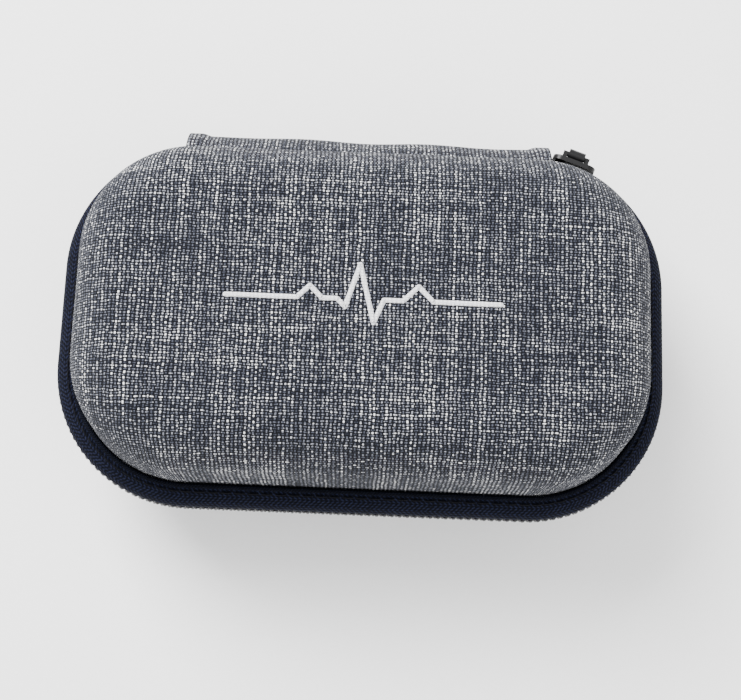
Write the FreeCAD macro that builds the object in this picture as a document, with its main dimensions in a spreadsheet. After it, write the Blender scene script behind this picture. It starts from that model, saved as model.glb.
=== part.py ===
"""Moulded zip case for a fingertip pulse oximeter, with the oximeter lying in its foam nest.

Row frame: +Z up, millimetres. The origin is the middle of the flat face that the case rests on.
+X runs along the case, +Y points to its fabric spine, and -Y to the side that opens.
The two halves of the case meet at the parting plane, half way up. The oximeter's own frame has its
origin under its middle, with its finger opening towards -X.
"""

import FreeCAD
import Part
import Sketcher
import math
import os
import re

from FreeCAD import Placement, Rotation, Vector

doc = FreeCAD.newDocument("OximeterCase")
sheet = doc.addObject("Spreadsheet::Sheet", "Sizes")

SIZES = {
    # the closed case
    "case_length": (120, "over the zip, along X"),
    "case_width": (74, "over the zip, along Y, without the spine"),
    "case_height": (52, "from the resting face to the top of the lid"),
    "shell_corner": (23, "corner radius of a moulded shell at the parting plane"),
    "edge_round": (11, "radius between a shell's wall and its flat top"),
    "draft_angle": (5, "slope of the moulded walls, degrees"),
    "zip_reach": (3.6, "from a shell's wall out to the middle of the zip chain"),
    "skin_thick": (0.8, "outer cloth"),
    "shell_thick": (2.35, "moulded foam shell"),
    "lining_thick": (0.6, "inner cloth"),
    "glue_gap": (0.05, "between two layers of a half"),
    "skin_start": (3.2, "from the parting plane to the cloth's sewn edge"),
    "rim_start": (0.6, "from the parting plane to a shell's rim"),
    # zip
    "coil_radius": (0.65, "half the thickness of one row of zip teeth"),
    "coil_offset": (0.95, "from the parting plane to the middle of a row"),
    "tape_thick": (0.7, "woven zip tape"),
    "tape_top": (5.2, "from the parting plane to the tape's sewn edge"),
    "tape_turn": (2.9, "from the parting plane to where the tape turns in to the seam"),
    "notch_end": (47.2, "where the lid's zip starts, beside the parked slider"),
    "slider_length": (9, "along the zip"),
    "slider_height": (5, "across the zip"),
    "slider_bore": (1.05, "from the zip's middle to each plate of the slider"),
    "slider_plate": (0.95, "thickness of each plate"),
    "slider_park": (19.5, "where the slider is parked round the rear corner, degrees"),
    "wedge_thick": (0.4, "web that joins the slider's plates between the rows of teeth"),
    "bar_radius": (0.55, "bar that the pull hangs on"),
    "bar_reach": (3.6, "from the zip's middle out to the bar"),
    "pull_length": (19, "from the bar to the pull's lower end"),
    "pull_width": (5, "along the bar"),
    "pull_thick": (1.2, "across the pull"),
    # spine
    "spine_length": (73, "cloth strip along the back"),
    "spine_reach": (38.7, "outermost face of the strip, from the case's middle"),
    "spine_top": (9.5, "from the parting plane to the strip's sewn edge"),
    "spine_thick": (1.0, "folded cloth"),
    # inside of the case
    "binding_thick": (0.6, "tape sewn over a rim"),
    "binding_height": (4.6, "up the wall"),
    "pocket_length": (78, "net pocket, along X"),
    "pocket_width": (38, "net pocket, along Y"),
    "pocket_height": (20.7, "from the parting plane up to the net"),
    "net_thick": (0.5, "net"),
    "elastic_width": (5, "elastic along the pocket's mouth"),
    "nest_top": (6, "from the parting plane down to the foam's face"),
    "nest_gap": (0.25, "between the foam and the lining"),
    "nest_room": (0.8, "clearance round the oximeter"),
    "nest_corner": (9.5, "corner radius of the nest"),
    "thumb_radius": (8, "thumb notch beside the oximeter"),
    "nest_floor": (5.4, "height of the nest's floor above the resting face"),
    # oximeter
    "body_length": (56, "along X"),
    "body_width": (32, "along Y"),
    "body_corner": (9, "corner radius in plan"),
    "body_round": (3.5, "edge radius of top and bottom"),
    "lower_height": (14.6, "lower half"),
    "upper_start": (15.0, "lower rim of the upper half"),
    "body_height": (30, "top of the upper half"),
    "wall_thick": (1.6, "plastic wall"),
    "tail_drop": (2.2, "relief of each half at the squeezed end"),
    "pin_place": (12, "hinge pin, along X"),
    "pin_height": (15.6, "hinge pin above the oximeter's underside"),
    "pin_radius": (1.0, "hinge pin"),
    "pin_length": (24, "hinge pin"),
    "pin_play": (0.06, "running clearance of the hinge"),
    "lug_radius": (2.3, "round end of a hinge lug"),
    "tunnel_radius": (7.4, "finger tunnel in the upper pad"),
    "tunnel_end": (4, "where the finger stops, along X"),
    "pad_width": (21.6, "silicone pads"),
    "pad_reach": (24.2, "from the oximeter's middle to the pads' front, along X"),
    "pad_back": (6, "back of the pads, along X"),
    "sensor_place": (-12, "lamp and light sensor, along X"),
    "window_length": (32, "display window"),
    "window_width": (20, "display window"),
    "window_thick": (1.15, "display window"),
    "window_place": (-5, "middle of the display window, along X"),
    "button_place": (19, "power button, along X"),
    "button_radius": (4.0, "power button"),
    "cell_radius": (5.15, "battery"),
    "cell_length": (43.5, "battery, without its button"),
    "cell_height": (6.75, "middle of a battery above the underside"),
    "board_width": (21.6, "circuit board, along Y"),
    "mark_width": (50, "printed pulse trace, along X"),
    "mark_stroke": (0.9, "width of the printed line"),
    "mark_thick": (0.06, "printed ink"),
    "screw_place": (20, "screws, along X"),
    "screw_side": (12.7, "screws, along Y"),
}

for row, (alias, (size, note)) in enumerate(SIZES.items(), 1):
    sheet.set(f"A{row}", str(size))
    sheet.setAlias(f"A{row}", alias)
    sheet.set(f"B{row}", note)
doc.recompute()

# every alias has an underscore, so that functions such as tan are left alone
ALIAS = re.compile(r"\b[a-z]+(?:_[a-z]+)+\b")
WALL = "tan(draft_angle * 1deg)"
SHELL_LENGTH = "(case_length - 2 * (zip_reach + coil_radius))"
SHELL_WIDTH = "(case_width - 2 * (zip_reach + coil_radius))"
HALF = "(case_height / 2)"
labels = []


def bound(text):
    """An expression on the sheet's cells, from one that uses their bare names."""
    return ALIAS.sub(lambda m: "Sizes." + m.group(0), str(text))


probe = doc.addObject("App::FeaturePython", "Probe")
probe.addProperty("App::PropertyFloat", "Answer")


def value(text):
    """The number that an expression on the sheet's cells gives now."""
    probe.setExpression("Answer", bound(text))
    probe.recompute()
    return probe.Answer


def bind(thing, **properties):
    """Binds a thing's sizes to expressions, such as Length="case_length / 2"."""
    for name, text in properties.items():
        thing.setExpression(name, bound(text))
    return thing


def place(thing, x=0, y=0, z=0, turn=None):
    """Puts a thing at bound coordinates, after an optional fixed turn."""
    if turn:
        thing.Placement = Placement(Vector(), turn)
    for axis, text in zip("xyz", (x, y, z)):
        thing.setExpression(f"Placement.Base.{axis}", bound(text))
    return thing


def node(thing, name):
    """Makes a thing a sub-part, whose label names its file."""
    thing.Label = name
    labels.append(thing)
    return thing


# --- Part primitives and booleans -------------------------------------------------------------


def block(x, y, z, length, width, height):
    """A box whose middle is at x, y and whose underside is at z."""
    box = bind(doc.addObject("Part::Box", "Block"), Length=length, Width=width, Height=height)
    return place(box, f"{x} - ({length}) / 2", f"{y} - ({width}) / 2", z)


def rod(x, y, z, radius, length, axis="z"):
    """A cylinder from x, y, z along an axis."""
    turn = {"x": Rotation(Vector(0, 1, 0), 90), "y": Rotation(Vector(1, 0, 0), -90), "z": Rotation()}[axis]
    cylinder = bind(doc.addObject("Part::Cylinder", "Rod"), Radius=radius, Height=length)
    return place(cylinder, x, y, z, turn)


def cut(base, *tools):
    """base with each tool taken out of it."""
    for tool in tools:
        result = doc.addObject("Part::Cut", "Cut")
        result.Base = base
        result.Tool = tool
        base = result
    return base


def join(*things):
    """Things that make one piece, or one group of like pieces."""
    result = doc.addObject("Part::MultiFuse", "Join")
    result.Shapes = list(things)
    return result


# --- PartDesign bodies ------------------------------------------------------------------------


def new_sketch(body, plane, offset="0"):
    """A sketch on one of a body's own origin planes, lifted along its normal."""
    drawing = body.newObject("Sketcher::SketchObject", "Sketch")
    origin = next(f for f in body.Origin.OriginFeatures if f.Role == plane)
    drawing.AttachmentSupport = [(origin, "")]
    drawing.MapMode = "FlatFace"
    drawing.setExpression("AttachmentOffset.Base.z", bound(offset))
    return drawing


def pin_point(drawing, shape, end, x, y):
    """Holds a point of a sketch at bound coordinates."""
    for kind, text in (("DistanceX", x), ("DistanceY", y)):
        index = drawing.addConstraint(Sketcher.Constraint(kind, -1, 1, shape, end, value(text)))
        drawing.setExpression(f"Constraints[{index}]", bound(text))


def draw_rounded(drawing, length, width, corner, x="0", y="0"):
    """A rectangle with round corners, about x, y."""
    half_x, half_y, radius = value(f"({length}) / 2"), value(f"({width}) / 2"), value(corner)
    middle = Vector(value(x), value(y), 0)
    reach_x, reach_y = half_x - radius, half_y - radius
    ends = [(reach_x, half_y), (half_x, -reach_y), (-reach_x, -half_y), (-half_x, reach_y)]
    starts = [(-reach_x, half_y), (half_x, reach_y), (reach_x, -half_y), (-half_x, -reach_y)]
    line = drawing.GeometryCount
    for start, end in zip(starts, ends):
        drawing.addGeometry(Part.LineSegment(middle + Vector(*start, 0), middle + Vector(*end, 0)))
    signs = [(1, 1), (1, -1), (-1, -1), (-1, 1)]
    for step, (sign_x, sign_y) in enumerate(signs):
        centre = middle + Vector(sign_x * reach_x, sign_y * reach_y, 0)
        circle = Part.Circle(centre, Vector(0, 0, 1), radius)
        first = -math.pi / 2 * step
        arc = drawing.addGeometry(Part.ArcOfCircle(circle, first, first + math.pi / 2))
        drawing.addConstraint(Sketcher.Constraint("Tangent", line + step, 2, arc, 2))
        drawing.addConstraint(Sketcher.Constraint("Tangent", arc, 1, line + (step + 1) % 4, 1))
        pin_point(
            drawing,
            arc,
            3,
            f"{x} + ({sign_x}) * (({length}) / 2 - ({corner}))",
            f"{y} + ({sign_y}) * (({width}) / 2 - ({corner}))",
        )
        index = drawing.addConstraint(Sketcher.Constraint("Radius", arc, radius))
        drawing.setExpression(f"Constraints[{index}]", bound(corner))


def draw_polygon(drawing, points):
    """A closed outline of straight lines through bound points."""
    spots = [Vector(value(x), value(y), 0) for x, y in points]
    count = len(points)
    first = drawing.GeometryCount
    for i in range(count):
        drawing.addGeometry(Part.LineSegment(spots[i], spots[(i + 1) % count]))
    for i in range(count):
        drawing.addConstraint(Sketcher.Constraint("Coincident", first + i, 2, first + (i + 1) % count, 1))
        pin_point(drawing, first + i, 1, *points[i])


def draw_circle(drawing, x, y, radius):
    """A circle about a bound point."""
    circle = drawing.addGeometry(Part.Circle(Vector(value(x), value(y), 0), Vector(0, 0, 1), value(radius)))
    pin_point(drawing, circle, 3, x, y)
    index = drawing.addConstraint(Sketcher.Constraint("Radius", circle, value(radius)))
    drawing.setExpression(f"Constraints[{index}]", bound(radius))


def feature(body, kind, drawing, **settings):
    """A feature of a body made from a sketch; text settings are bound, others are set."""
    made = body.newObject(f"PartDesign::{kind}", kind)
    made.Profile = drawing
    for name, setting in settings.items():
        if isinstance(setting, str):
            made.setExpression(name, bound(setting))
        else:
            setattr(made, name, setting)
    drawing.Visibility = False
    doc.recompute()
    return made


def round_edges(body, base, radius, wanted):
    """Fillets the edges of a feature whose middle passes a test."""
    names = [
        f"Edge{i}"
        for i, edge in enumerate(base.Shape.Edges, 1)
        if wanted(edge.CenterOfMass)
    ]
    fillet = body.newObject("PartDesign::Fillet", "Fillet")
    fillet.Base = (base, names)
    fillet.setExpression("Radius", bound(radius))
    doc.recompute()
    return fillet


def new_body():
    return doc.addObject("PartDesign::Body", "Body")


def half_dome(inset, start):
    """A solid moulded block, its foot at start above the parting plane and its top up.

    inset is how far its faces lie inside the shell's outer face.
    """
    body = new_body()
    drawing = new_sketch(body, "XY_Plane", start)
    shrink = f"2 * ({inset} + ({start}) * {WALL})"
    corner = f"shell_corner - ({inset}) - ({start}) * {WALL}"
    draw_rounded(drawing, f"{SHELL_LENGTH} - {shrink}", f"{SHELL_WIDTH} - {shrink}", corner)
    tall = f"{HALF} - ({inset}) - ({start})"
    pad = feature(body, "Pad", drawing, Length=tall, TaperAngle="0 - draft_angle")
    top = value(f"{HALF} - ({inset})")
    round_edges(body, pad, f"edge_round - ({inset})", lambda middle: abs(middle.z - top) < 0.01)
    return body


def case_half(thing, is_lid):
    """Stands a half's piece on the parting plane; the base's pieces are turned over."""
    return place(thing, z=HALF, turn=None if is_lid else Rotation(Vector(1, 0, 0), 180))


def perimeter_ring(profile):
    """A closed ring round a half, whose section is drawn at the middle of the front.

    profile lists points as (distance out from the shell's outline, height over the parting plane).
    """
    body = new_body()
    path = new_sketch(body, "XY_Plane")
    draw_rounded(path, SHELL_LENGTH, SHELL_WIDTH, "shell_corner")
    section = new_sketch(body, "YZ_Plane")
    if isinstance(profile, list):
        draw_polygon(section, [(f"0 - {SHELL_WIDTH} / 2 - ({out})", up) for out, up in profile])
    else:
        out, up, radius = profile
        draw_circle(section, f"0 - {SHELL_WIDTH} / 2 - ({out})", up, radius)
    doc.recompute()
    pipe = body.newObject("PartDesign::AdditivePipe", "Pipe")
    pipe.Profile = section
    pipe.Spine = path
    doc.recompute()
    return body


# --- the two halves of the case ---------------------------------------------------------------

LAYERS = {
    "fabric_skin": ("0", "skin_start", "skin_thick"),
    "moulded_shell": ("skin_thick + glue_gap", "rim_start", "shell_thick"),
    "lining": ("skin_thick + shell_thick + 2 * glue_gap", "rim_start", "lining_thick"),
}
INNER = "(skin_thick + shell_thick + lining_thick + 2 * glue_gap)"


def make_layers(half, is_lid):
    for layer, (inset, start, thickness) in LAYERS.items():
        hollow = cut(half_dome(inset, start), half_dome(f"{inset} + {thickness}", start))
        node(case_half(hollow, is_lid), f"{half}_{layer}")


def lean(out, up):
    """A section point that follows the slope of the wall."""
    return (f"{out} - ({up}) * {WALL}", up)


def make_binding(half, is_lid):
    """Tape sewn over the inside of a half's rim."""
    deep = f"0 - {INNER} - glue_gap"
    low, high = "rim_start", "rim_start + binding_height"
    profile = [
        lean(deep, low),
        lean(deep, high),
        lean(f"{deep} - binding_thick", high),
        lean(f"{deep} - binding_thick", low),
    ]
    node(case_half(perimeter_ring(profile), is_lid), f"{half}_edge_binding")


def zip_gap(end_x):
    """Block over the back of a half where the zip is left out, behind the spine.

    It starts at the spine's left end and stops at end_x, part way round the rear corner.
    """
    body = new_body()
    drawing = new_sketch(body, "XY_Plane")
    corner_x = f"{SHELL_LENGTH} / 2 - shell_corner"
    corner_y = f"{SHELL_WIDTH} / 2 - shell_corner"
    radius = "(shell_corner + 1)"
    back = f"{corner_y} + {radius}"
    far = f"{back} + 12"
    left = "0 - spine_length / 2"
    angle = math.asin(value(f"(({end_x}) - ({corner_x})) / {radius}"))
    centre = Vector(value(corner_x), value(corner_y), 0)
    start = Vector(value(left), value(back), 0)
    arc_end = centre + Vector(math.sin(angle), math.cos(angle), 0) * value(radius)
    corners = [arc_end, Vector(value(end_x), value(far), 0), Vector(value(left), value(far), 0), start]
    drawing.addGeometry(Part.LineSegment(start, Vector(centre.x, start.y, 0)))
    circle = Part.Circle(centre, Vector(0, 0, 1), value(radius))
    drawing.addGeometry(Part.ArcOfCircle(circle, math.pi / 2 - angle, math.pi / 2))
    for first, second in zip(corners, corners[1:]):
        drawing.addGeometry(Part.LineSegment(first, second))
    drawing.addConstraint(Sketcher.Constraint("Tangent", 0, 2, 1, 2))
    for ends in ((1, 1, 2, 1), (2, 2, 3, 1), (3, 2, 4, 1), (4, 2, 0, 1)):
        drawing.addConstraint(Sketcher.Constraint("Coincident", *ends))
    pin_point(drawing, 1, 3, corner_x, corner_y)
    pin_point(drawing, 3, 1, end_x, far)
    pin_point(drawing, 4, 1, left, far)
    for line in (2, 4):
        drawing.addConstraint(Sketcher.Constraint("Vertical", line))
    index = drawing.addConstraint(Sketcher.Constraint("Radius", 1, value(radius)))
    drawing.setExpression(f"Constraints[{index}]", bound(radius))
    feature(body, "Pad", drawing, Length="2 * tape_top + 4", Midplane=True)
    return body


def make_zip(half, is_lid):
    """Woven tape and one row of teeth, both sewn round the half and left out behind the spine."""
    end_x = "notch_end" if is_lid else "spine_length / 2"
    low = "coil_offset + coil_radius + 0.02"
    fold = "zip_reach - tape_thick / 2"
    profile = [
        lean("glue_gap", "tape_top"),
        lean("glue_gap + tape_thick", "tape_top"),
        lean("glue_gap + tape_thick", "tape_top - 0.6"),
        ("zip_reach + tape_thick / 2", "tape_turn"),
        ("zip_reach + tape_thick / 2", low),
        (fold, low),
        (fold, "tape_turn - 0.4"),
        lean("glue_gap", "tape_top - 1"),
    ]
    gaps = [zip_gap(end_x), zip_gap(end_x)]
    if not is_lid:
        for gap in gaps:
            gap.Placement = Placement(Vector(), Rotation(Vector(1, 0, 0), 180))
    tape = cut(perimeter_ring(profile), gaps[0])
    node(case_half(tape, is_lid), f"{half}_zip_tape")
    teeth = cut(perimeter_ring(("zip_reach", "coil_offset", "coil_radius")), gaps[1])
    node(case_half(teeth, is_lid), f"{half}_zip_teeth")


def make_spine(half, is_lid):
    """Half of the cloth strip that hinges the case, from its fold to its sewn edge."""
    body = new_body()
    drawing = new_sketch(body, "YZ_Plane")
    side = 1 if is_lid else -1
    wall = f"{SHELL_WIDTH} / 2 - spine_top * {WALL} + glue_gap"
    fold = "0.15"
    points = [
        ("spine_reach", fold),
        (f"{wall} + spine_thick", "spine_top - 1.2"),
        (f"{wall} + spine_thick * 0.7", "spine_top"),
        (wall, "spine_top"),
        (f"{wall} + 0.15", "spine_top - 1.8"),
        ("spine_reach - spine_thick", fold),
    ]
    draw_polygon(drawing, [(y, f"{side} * ({z})") for y, z in points])
    feature(body, "Pad", drawing, Length="spine_length", Midplane=True)
    node(place(body, z=HALF), f"spine_cover_{half}_half")


for half_name, lid in (("lid", True), ("base", False)):
    make_layers(half_name, lid)
    make_binding(half_name, lid)
    make_zip(half_name, lid)
    make_spine(half_name, lid)

# --- slider and pull --------------------------------------------------------------------------

CORNER_X = f"({SHELL_LENGTH} / 2 - shell_corner)"
CORNER_Y = f"({SHELL_WIDTH} / 2 - shell_corner)"
ZIP_RADIUS = "(shell_corner + zip_reach)"
SIDE_PLAY = "0.4"  # the inner plate stands off this much more, because the zip curves through the slider


def park(thing):
    """Carries a piece from the slider's frame, X along the zip and Y outwards, to the rear corner."""
    return place(
        thing,
        f"{CORNER_X} + {ZIP_RADIUS} * sin(slider_park * 1deg)",
        f"{CORNER_Y} + {ZIP_RADIUS} * cos(slider_park * 1deg)",
        HALF,
        Rotation(Vector(0, 0, 1), -value("slider_park")),
    )


def slider_plate(outer_face):
    """A plate with round ends, whose outer face is at y."""
    body = new_body()
    drawing = new_sketch(body, "XZ_Plane", f"0 - ({outer_face})")
    draw_rounded(drawing, "slider_length", "slider_height", "slider_height / 3")
    feature(body, "Pad", drawing, Length="slider_plate")
    return body


def make_slider():
    bore, half_bar = "slider_bore", "2.8"
    plates = [slider_plate(f"{bore} + slider_plate"), slider_plate(f"0 - {bore} - {SIDE_PLAY}")]
    wedge = block(
        "0 - slider_length / 2 + 1.7",
        f"0 - {SIDE_PLAY} / 2",
        "0 - wedge_thick / 2",
        "2.2",
        f"2 * {bore} + {SIDE_PLAY} + 0.4",
        "wedge_thick",
    )
    bar = rod(f"0 - {half_bar}", "bar_reach", "0", "bar_radius", f"2 * {half_bar}", "x")
    posts = [
        block(
            f"{side} * ({half_bar} - 0.45)",
            f"({bore} + slider_plate * 0.6 + bar_reach) / 2",
            "0 - bar_radius",
            "0.9",
            f"bar_reach - {bore} - slider_plate * 0.6",
            "2 * bar_radius",
        )
        for side in (1, -1)
    ]
    node(park(join(*plates, wedge, bar, *posts)), "zip_slider")

    eye_width, eye_radius = "3.4", "1.25"
    eye = rod(f"0 - {eye_width} / 2", "bar_reach", "0", eye_radius, eye_width, "x")
    neck = block("0", "bar_reach", "0 - 4", eye_width, "pull_thick", "3.2")
    tab_body = new_body()
    drawing = new_sketch(tab_body, "XZ_Plane", "0 - bar_reach - pull_thick / 2")
    tab_corner = "pull_width / 2 - 0.1"
    draw_rounded(drawing, "pull_width", "pull_length - 3", tab_corner, "0", "0 - (pull_length + 3) / 2")
    draw_rounded(drawing, "1.6", "7", "0.75", "0", "0 - pull_length + 5.5")
    feature(tab_body, "Pad", drawing, Length="pull_thick")
    hole = rod(f"0 - {eye_width}", "bar_reach", "0", "bar_radius + 0.07", f"2 * {eye_width}", "x")
    node(park(cut(join(eye, neck, tab_body), hole)), "zip_pull")


make_slider()


# --- inside of the case -----------------------------------------------------------------------


def rounded_body(length, width, corner, start, tall, x="0", y="0"):
    """A plate or block with round corners in plan, standing on start."""
    body = new_body()
    drawing = new_sketch(body, "XY_Plane", start)
    draw_rounded(drawing, length, width, corner, x, y)
    feature(body, "Pad", drawing, Length=tall)
    return body


def make_nest():
    """Foam block that fills the base, with a nest and two thumb notches for the oximeter."""
    foam = case_half(half_dome(f"{INNER} + nest_gap", "nest_top"), False)
    nest = rounded_body(
        "body_length + 2 * nest_room",
        "body_width + 2 * nest_room",
        "nest_corner",
        "nest_floor",
        HALF,
    )
    thumbs = [
        rod("0", f"{side} * (body_width / 2 + 1)", "nest_floor + 5", "thumb_radius", HALF)
        for side in (1, -1)
    ]
    node(cut(foam, nest, *thumbs), "foam_nest")


def make_pocket():
    """Net pocket under the lid's ceiling: net, sewn hem on three sides, elastic at its mouth."""
    level = f"{HALF} + pocket_height"
    across = "pocket_length - 6"
    net = block("0", "elastic_width / 2", level, across, "pocket_width - elastic_width", "net_thick")
    node(net, "pocket_net")
    outer = block("0", "0", level, "pocket_length", "pocket_width + 3.8", "1.35")
    inner = block("0", "0 - 5", f"{level} - 1", "pocket_length - 5.8", "pocket_width + 10.2", "4")
    node(cut(outer, inner), "pocket_hem")
    mouth = "0 - pocket_width / 2 + elastic_width / 2 - 0.1"
    node(block("0", mouth, level, across, "elastic_width - 0.3", "net_thick * 2"), "pocket_elastic")


def make_mark():
    """Printed pulse trace on the lid: one line of even width."""
    half, stroke = value("mark_width") / 2, value("mark_stroke")
    beat = [(-1, 0), (-0.48, 0), (-0.39, 0.09), (-0.3, 0), (-0.19, 0), (-0.13, -0.06), (-0.03, 0.26)]
    beat += [(0.08, -0.17), (0.15, 0), (0.29, 0), (0.4, 0.11), (0.51, 0), (1, 0)]
    trace = Part.makePolygon([Vector(x * half, y * half, 0) for x, y in beat])
    face = trace.makeOffset2D(stroke / 2, 0, True, False)
    mark = doc.addObject("Part::Feature", "Mark")
    mark.Shape = face.extrude(Vector(0, 0, value("mark_thick")))
    node(place(mark, z="case_height"), "printed_mark")


make_nest()
make_pocket()
make_mark()


# --- oximeter ---------------------------------------------------------------------------------

LIFT = "(nest_floor + glue_gap)"
TAIL = "(body_length / 2)"
RIM = "(wall_thick + 0.2)"
ACROSS = Rotation(Vector(1, 0, 0), -90)


def lifted(z):
    """A height in the oximeter's frame, as a height in the row frame."""
    return f"{LIFT} + {z}"


def shell_solid(inset, start, tall, round_at):
    """A rounded block of the oximeter's plan, with the edges at round_at filleted."""
    body = rounded_body(
        f"body_length - 2 * ({inset})",
        f"body_width - 2 * ({inset})",
        f"body_corner - ({inset})",
        start,
        tall,
    )
    level = value(round_at)
    round_edges(body, body.Tip, f"body_round - ({inset})", lambda middle: abs(middle.z - level) < 0.01)
    return body


def tail_relief(level, sign):
    """Wedge taken out of a half behind the hinge, so that its tail can be squeezed."""
    body = new_body()
    drawing = new_sketch(body, "XZ_Plane")
    far = f"{TAIL} + 2"
    drop = f"tail_drop * ({far} - pin_place) / ({TAIL} - pin_place)"
    draw_polygon(
        drawing,
        [
            ("pin_place", f"{level} - {sign} * 0.01"),
            (far, f"{level} - {sign} * 0.01"),
            (far, f"{level} + {sign} * {drop}"),
        ],
    )
    feature(body, "Pad", drawing, Length="body_width + 4", Midplane=True)
    return body


def frame_plate(start, tall):
    """The flat plate of a half's inner frame, which fills the housing in plan."""
    length, width = f"body_length - 2 * {RIM}", f"body_width - 2 * {RIM}"
    return rounded_body(length, width, f"body_corner - {RIM}", start, tall)


def screw_spots():
    return [(f"{sx} * screw_place", f"{sy} * screw_side") for sx in (1, -1) for sy in (1, -1)]


def make_lower_half():
    """Lower half: housing, battery door, batteries and contacts, frame, pad, light sensor, screws."""
    outer = shell_solid("0", "0", "lower_height", "0")
    inner = shell_solid("wall_thick", "wall_thick", "lower_height", "wall_thick")
    bosses = [rod(x, y, "wall_thick - 0.2", "1.7", "11.95 - wall_thick + 0.2") for x, y in screw_spots()]
    holes = [rod(x, y, "5", "0.8", "10") for x, y in screw_spots()]
    trough = rod(f"0 - {TAIL} - 1", "0", "22.1", "9.2", "6", "x")
    hatch = rounded_body("45.4", "21.4", "2.2", "0 - 1", "4")
    housing = cut(join(cut(outer, inner), *bosses), trough, hatch, tail_relief("lower_height", -1), *holes)
    node(place(housing, z=LIFT), "oximeter_lower_housing")
    node(place(rounded_body("45", "21", "2", "0.05", "1.2"), z=LIFT), "battery_door")

    plate = frame_plate("12", "0.6")
    lugs = [
        part
        for side in (1, -1)
        for part in (
            block("pin_place", f"{side} * 5.8", "12.3", "2 * lug_radius", "2.4", "pin_height - 12.3"),
            rod("pin_place", f"{side} * 5.8 - 1.2", "pin_height", "lug_radius", "2.4", "y"),
        )
    ]
    pin_hole = rod("pin_place", "0 - 10", "pin_height", "pin_radius + 0.03", "20", "y")
    frame_holes = [rod(x, y, "5", "0.8", "10") for x, y in screw_spots()]
    node(place(cut(join(plate, *lugs), pin_hole, *frame_holes), z=LIFT), "lower_frame")

    pad = block("(pad_back - pad_reach) / 2", "0", "12.65", "pad_back + pad_reach", "pad_width", "2.1")
    dip = rod("0 - 28", "0", "22.2", "9", "tunnel_end + 28", "x")
    eye = block("sensor_place", "0", "10", "5", "5", "8")
    node(place(cut(pad, dip, eye), z=LIFT), "lower_finger_pad")
    node(block("sensor_place", "0", lifted("12.65"), "4.6", "4.6", "0.4"), "light_sensor")

    screws = [
        part
        for x, y in screw_spots()
        for part in (rod(x, y, "6", "0.7", "7"), rod(x, y, "12.65", "1.35", "0.7"))
    ]
    node(place(join(*screws), z=LIFT), "lower_screws")


def make_batteries():
    """Two cells head to tail, a coil spring at each flat end and a plate behind each contact."""
    plates = []
    for name, side in (("battery_left", 1), ("battery_right", -1)):
        y = f"{side} * (cell_radius + 0.2)"
        cell = rod("0 - cell_length / 2", y, lifted("cell_height"), "cell_radius", "cell_length", "x")
        nub_start = "cell_length / 2 - 0.5" if side == 1 else "0 - cell_length / 2 - 1"
        nub = rod(nub_start, y, lifted("cell_height"), "2.7", "1.5", "x")
        node(join(cell, nub), name)
        for x in (f"{side} * (cell_length / 2 + 1.25)", f"0 - {side} * (cell_length / 2 + 4.1)"):
            plates.append(block(x, y, lifted("2.9"), "0.3", "7", "7.6"))
    node(join(*plates), "contact_plates")

    springs = []
    for side in (1, -1):
        turns, tall, wire = 5, 3.3, 0.2
        helix = Part.makeHelix(tall / turns, tall, 2.6)
        ring = Part.Wire(Part.makeCircle(wire, Vector(2.6, 0, 0), Vector(0, 1, 0)))
        spring = Part.Wire(helix.Edges).makePipeShell([ring], True, True)
        turn = Rotation(Vector(0, 1, 0), -90 * side)
        reach = value("cell_length / 2") + wire + 0.05
        middle = Vector(-side * reach, side * value("cell_radius + 0.2"), value(lifted("cell_height")))
        spring.Placement = Placement(middle, turn)
        springs.append(spring)
    coils = doc.addObject("Part::Feature", "Coils")
    coils.Shape = Part.makeCompound(springs)
    node(coils, "contact_springs")


def make_hinge():
    """Steel pin held by the lower frame, and the torsion spring round it that shuts the jaws.

    The spring's turns are separate rings side by side, and its two legs stand beside them.
    """
    pin = rod("pin_place", "0 - pin_length / 2", lifted("pin_height"), "pin_radius", "pin_length", "y")
    node(pin, "hinge_pin")
    radius, wire, pitch = "1.6", "0.22", "0.8"
    turns = []
    for step in range(9):
        ring = bind(doc.addObject("Part::Torus", "Turn"), Radius1=radius, Radius2=wire)
        turns.append(place(ring, "pin_place", f"({step} - 4) * {pitch}", lifted("pin_height"), ACROSS))
    leg_x = f"pin_place - {radius}"
    up_leg = rod(leg_x, f"4 * {pitch} + 2.2 * {wire}", lifted("pin_height - 1"), wire, "7.8")
    down_leg = rod(leg_x, f"0 - 4 * {pitch} - 2.2 * {wire}", lifted("pin_height - 2.6"), wire, "3.6")
    node(join(*turns, up_leg, down_leg), "torsion_spring")


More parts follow.
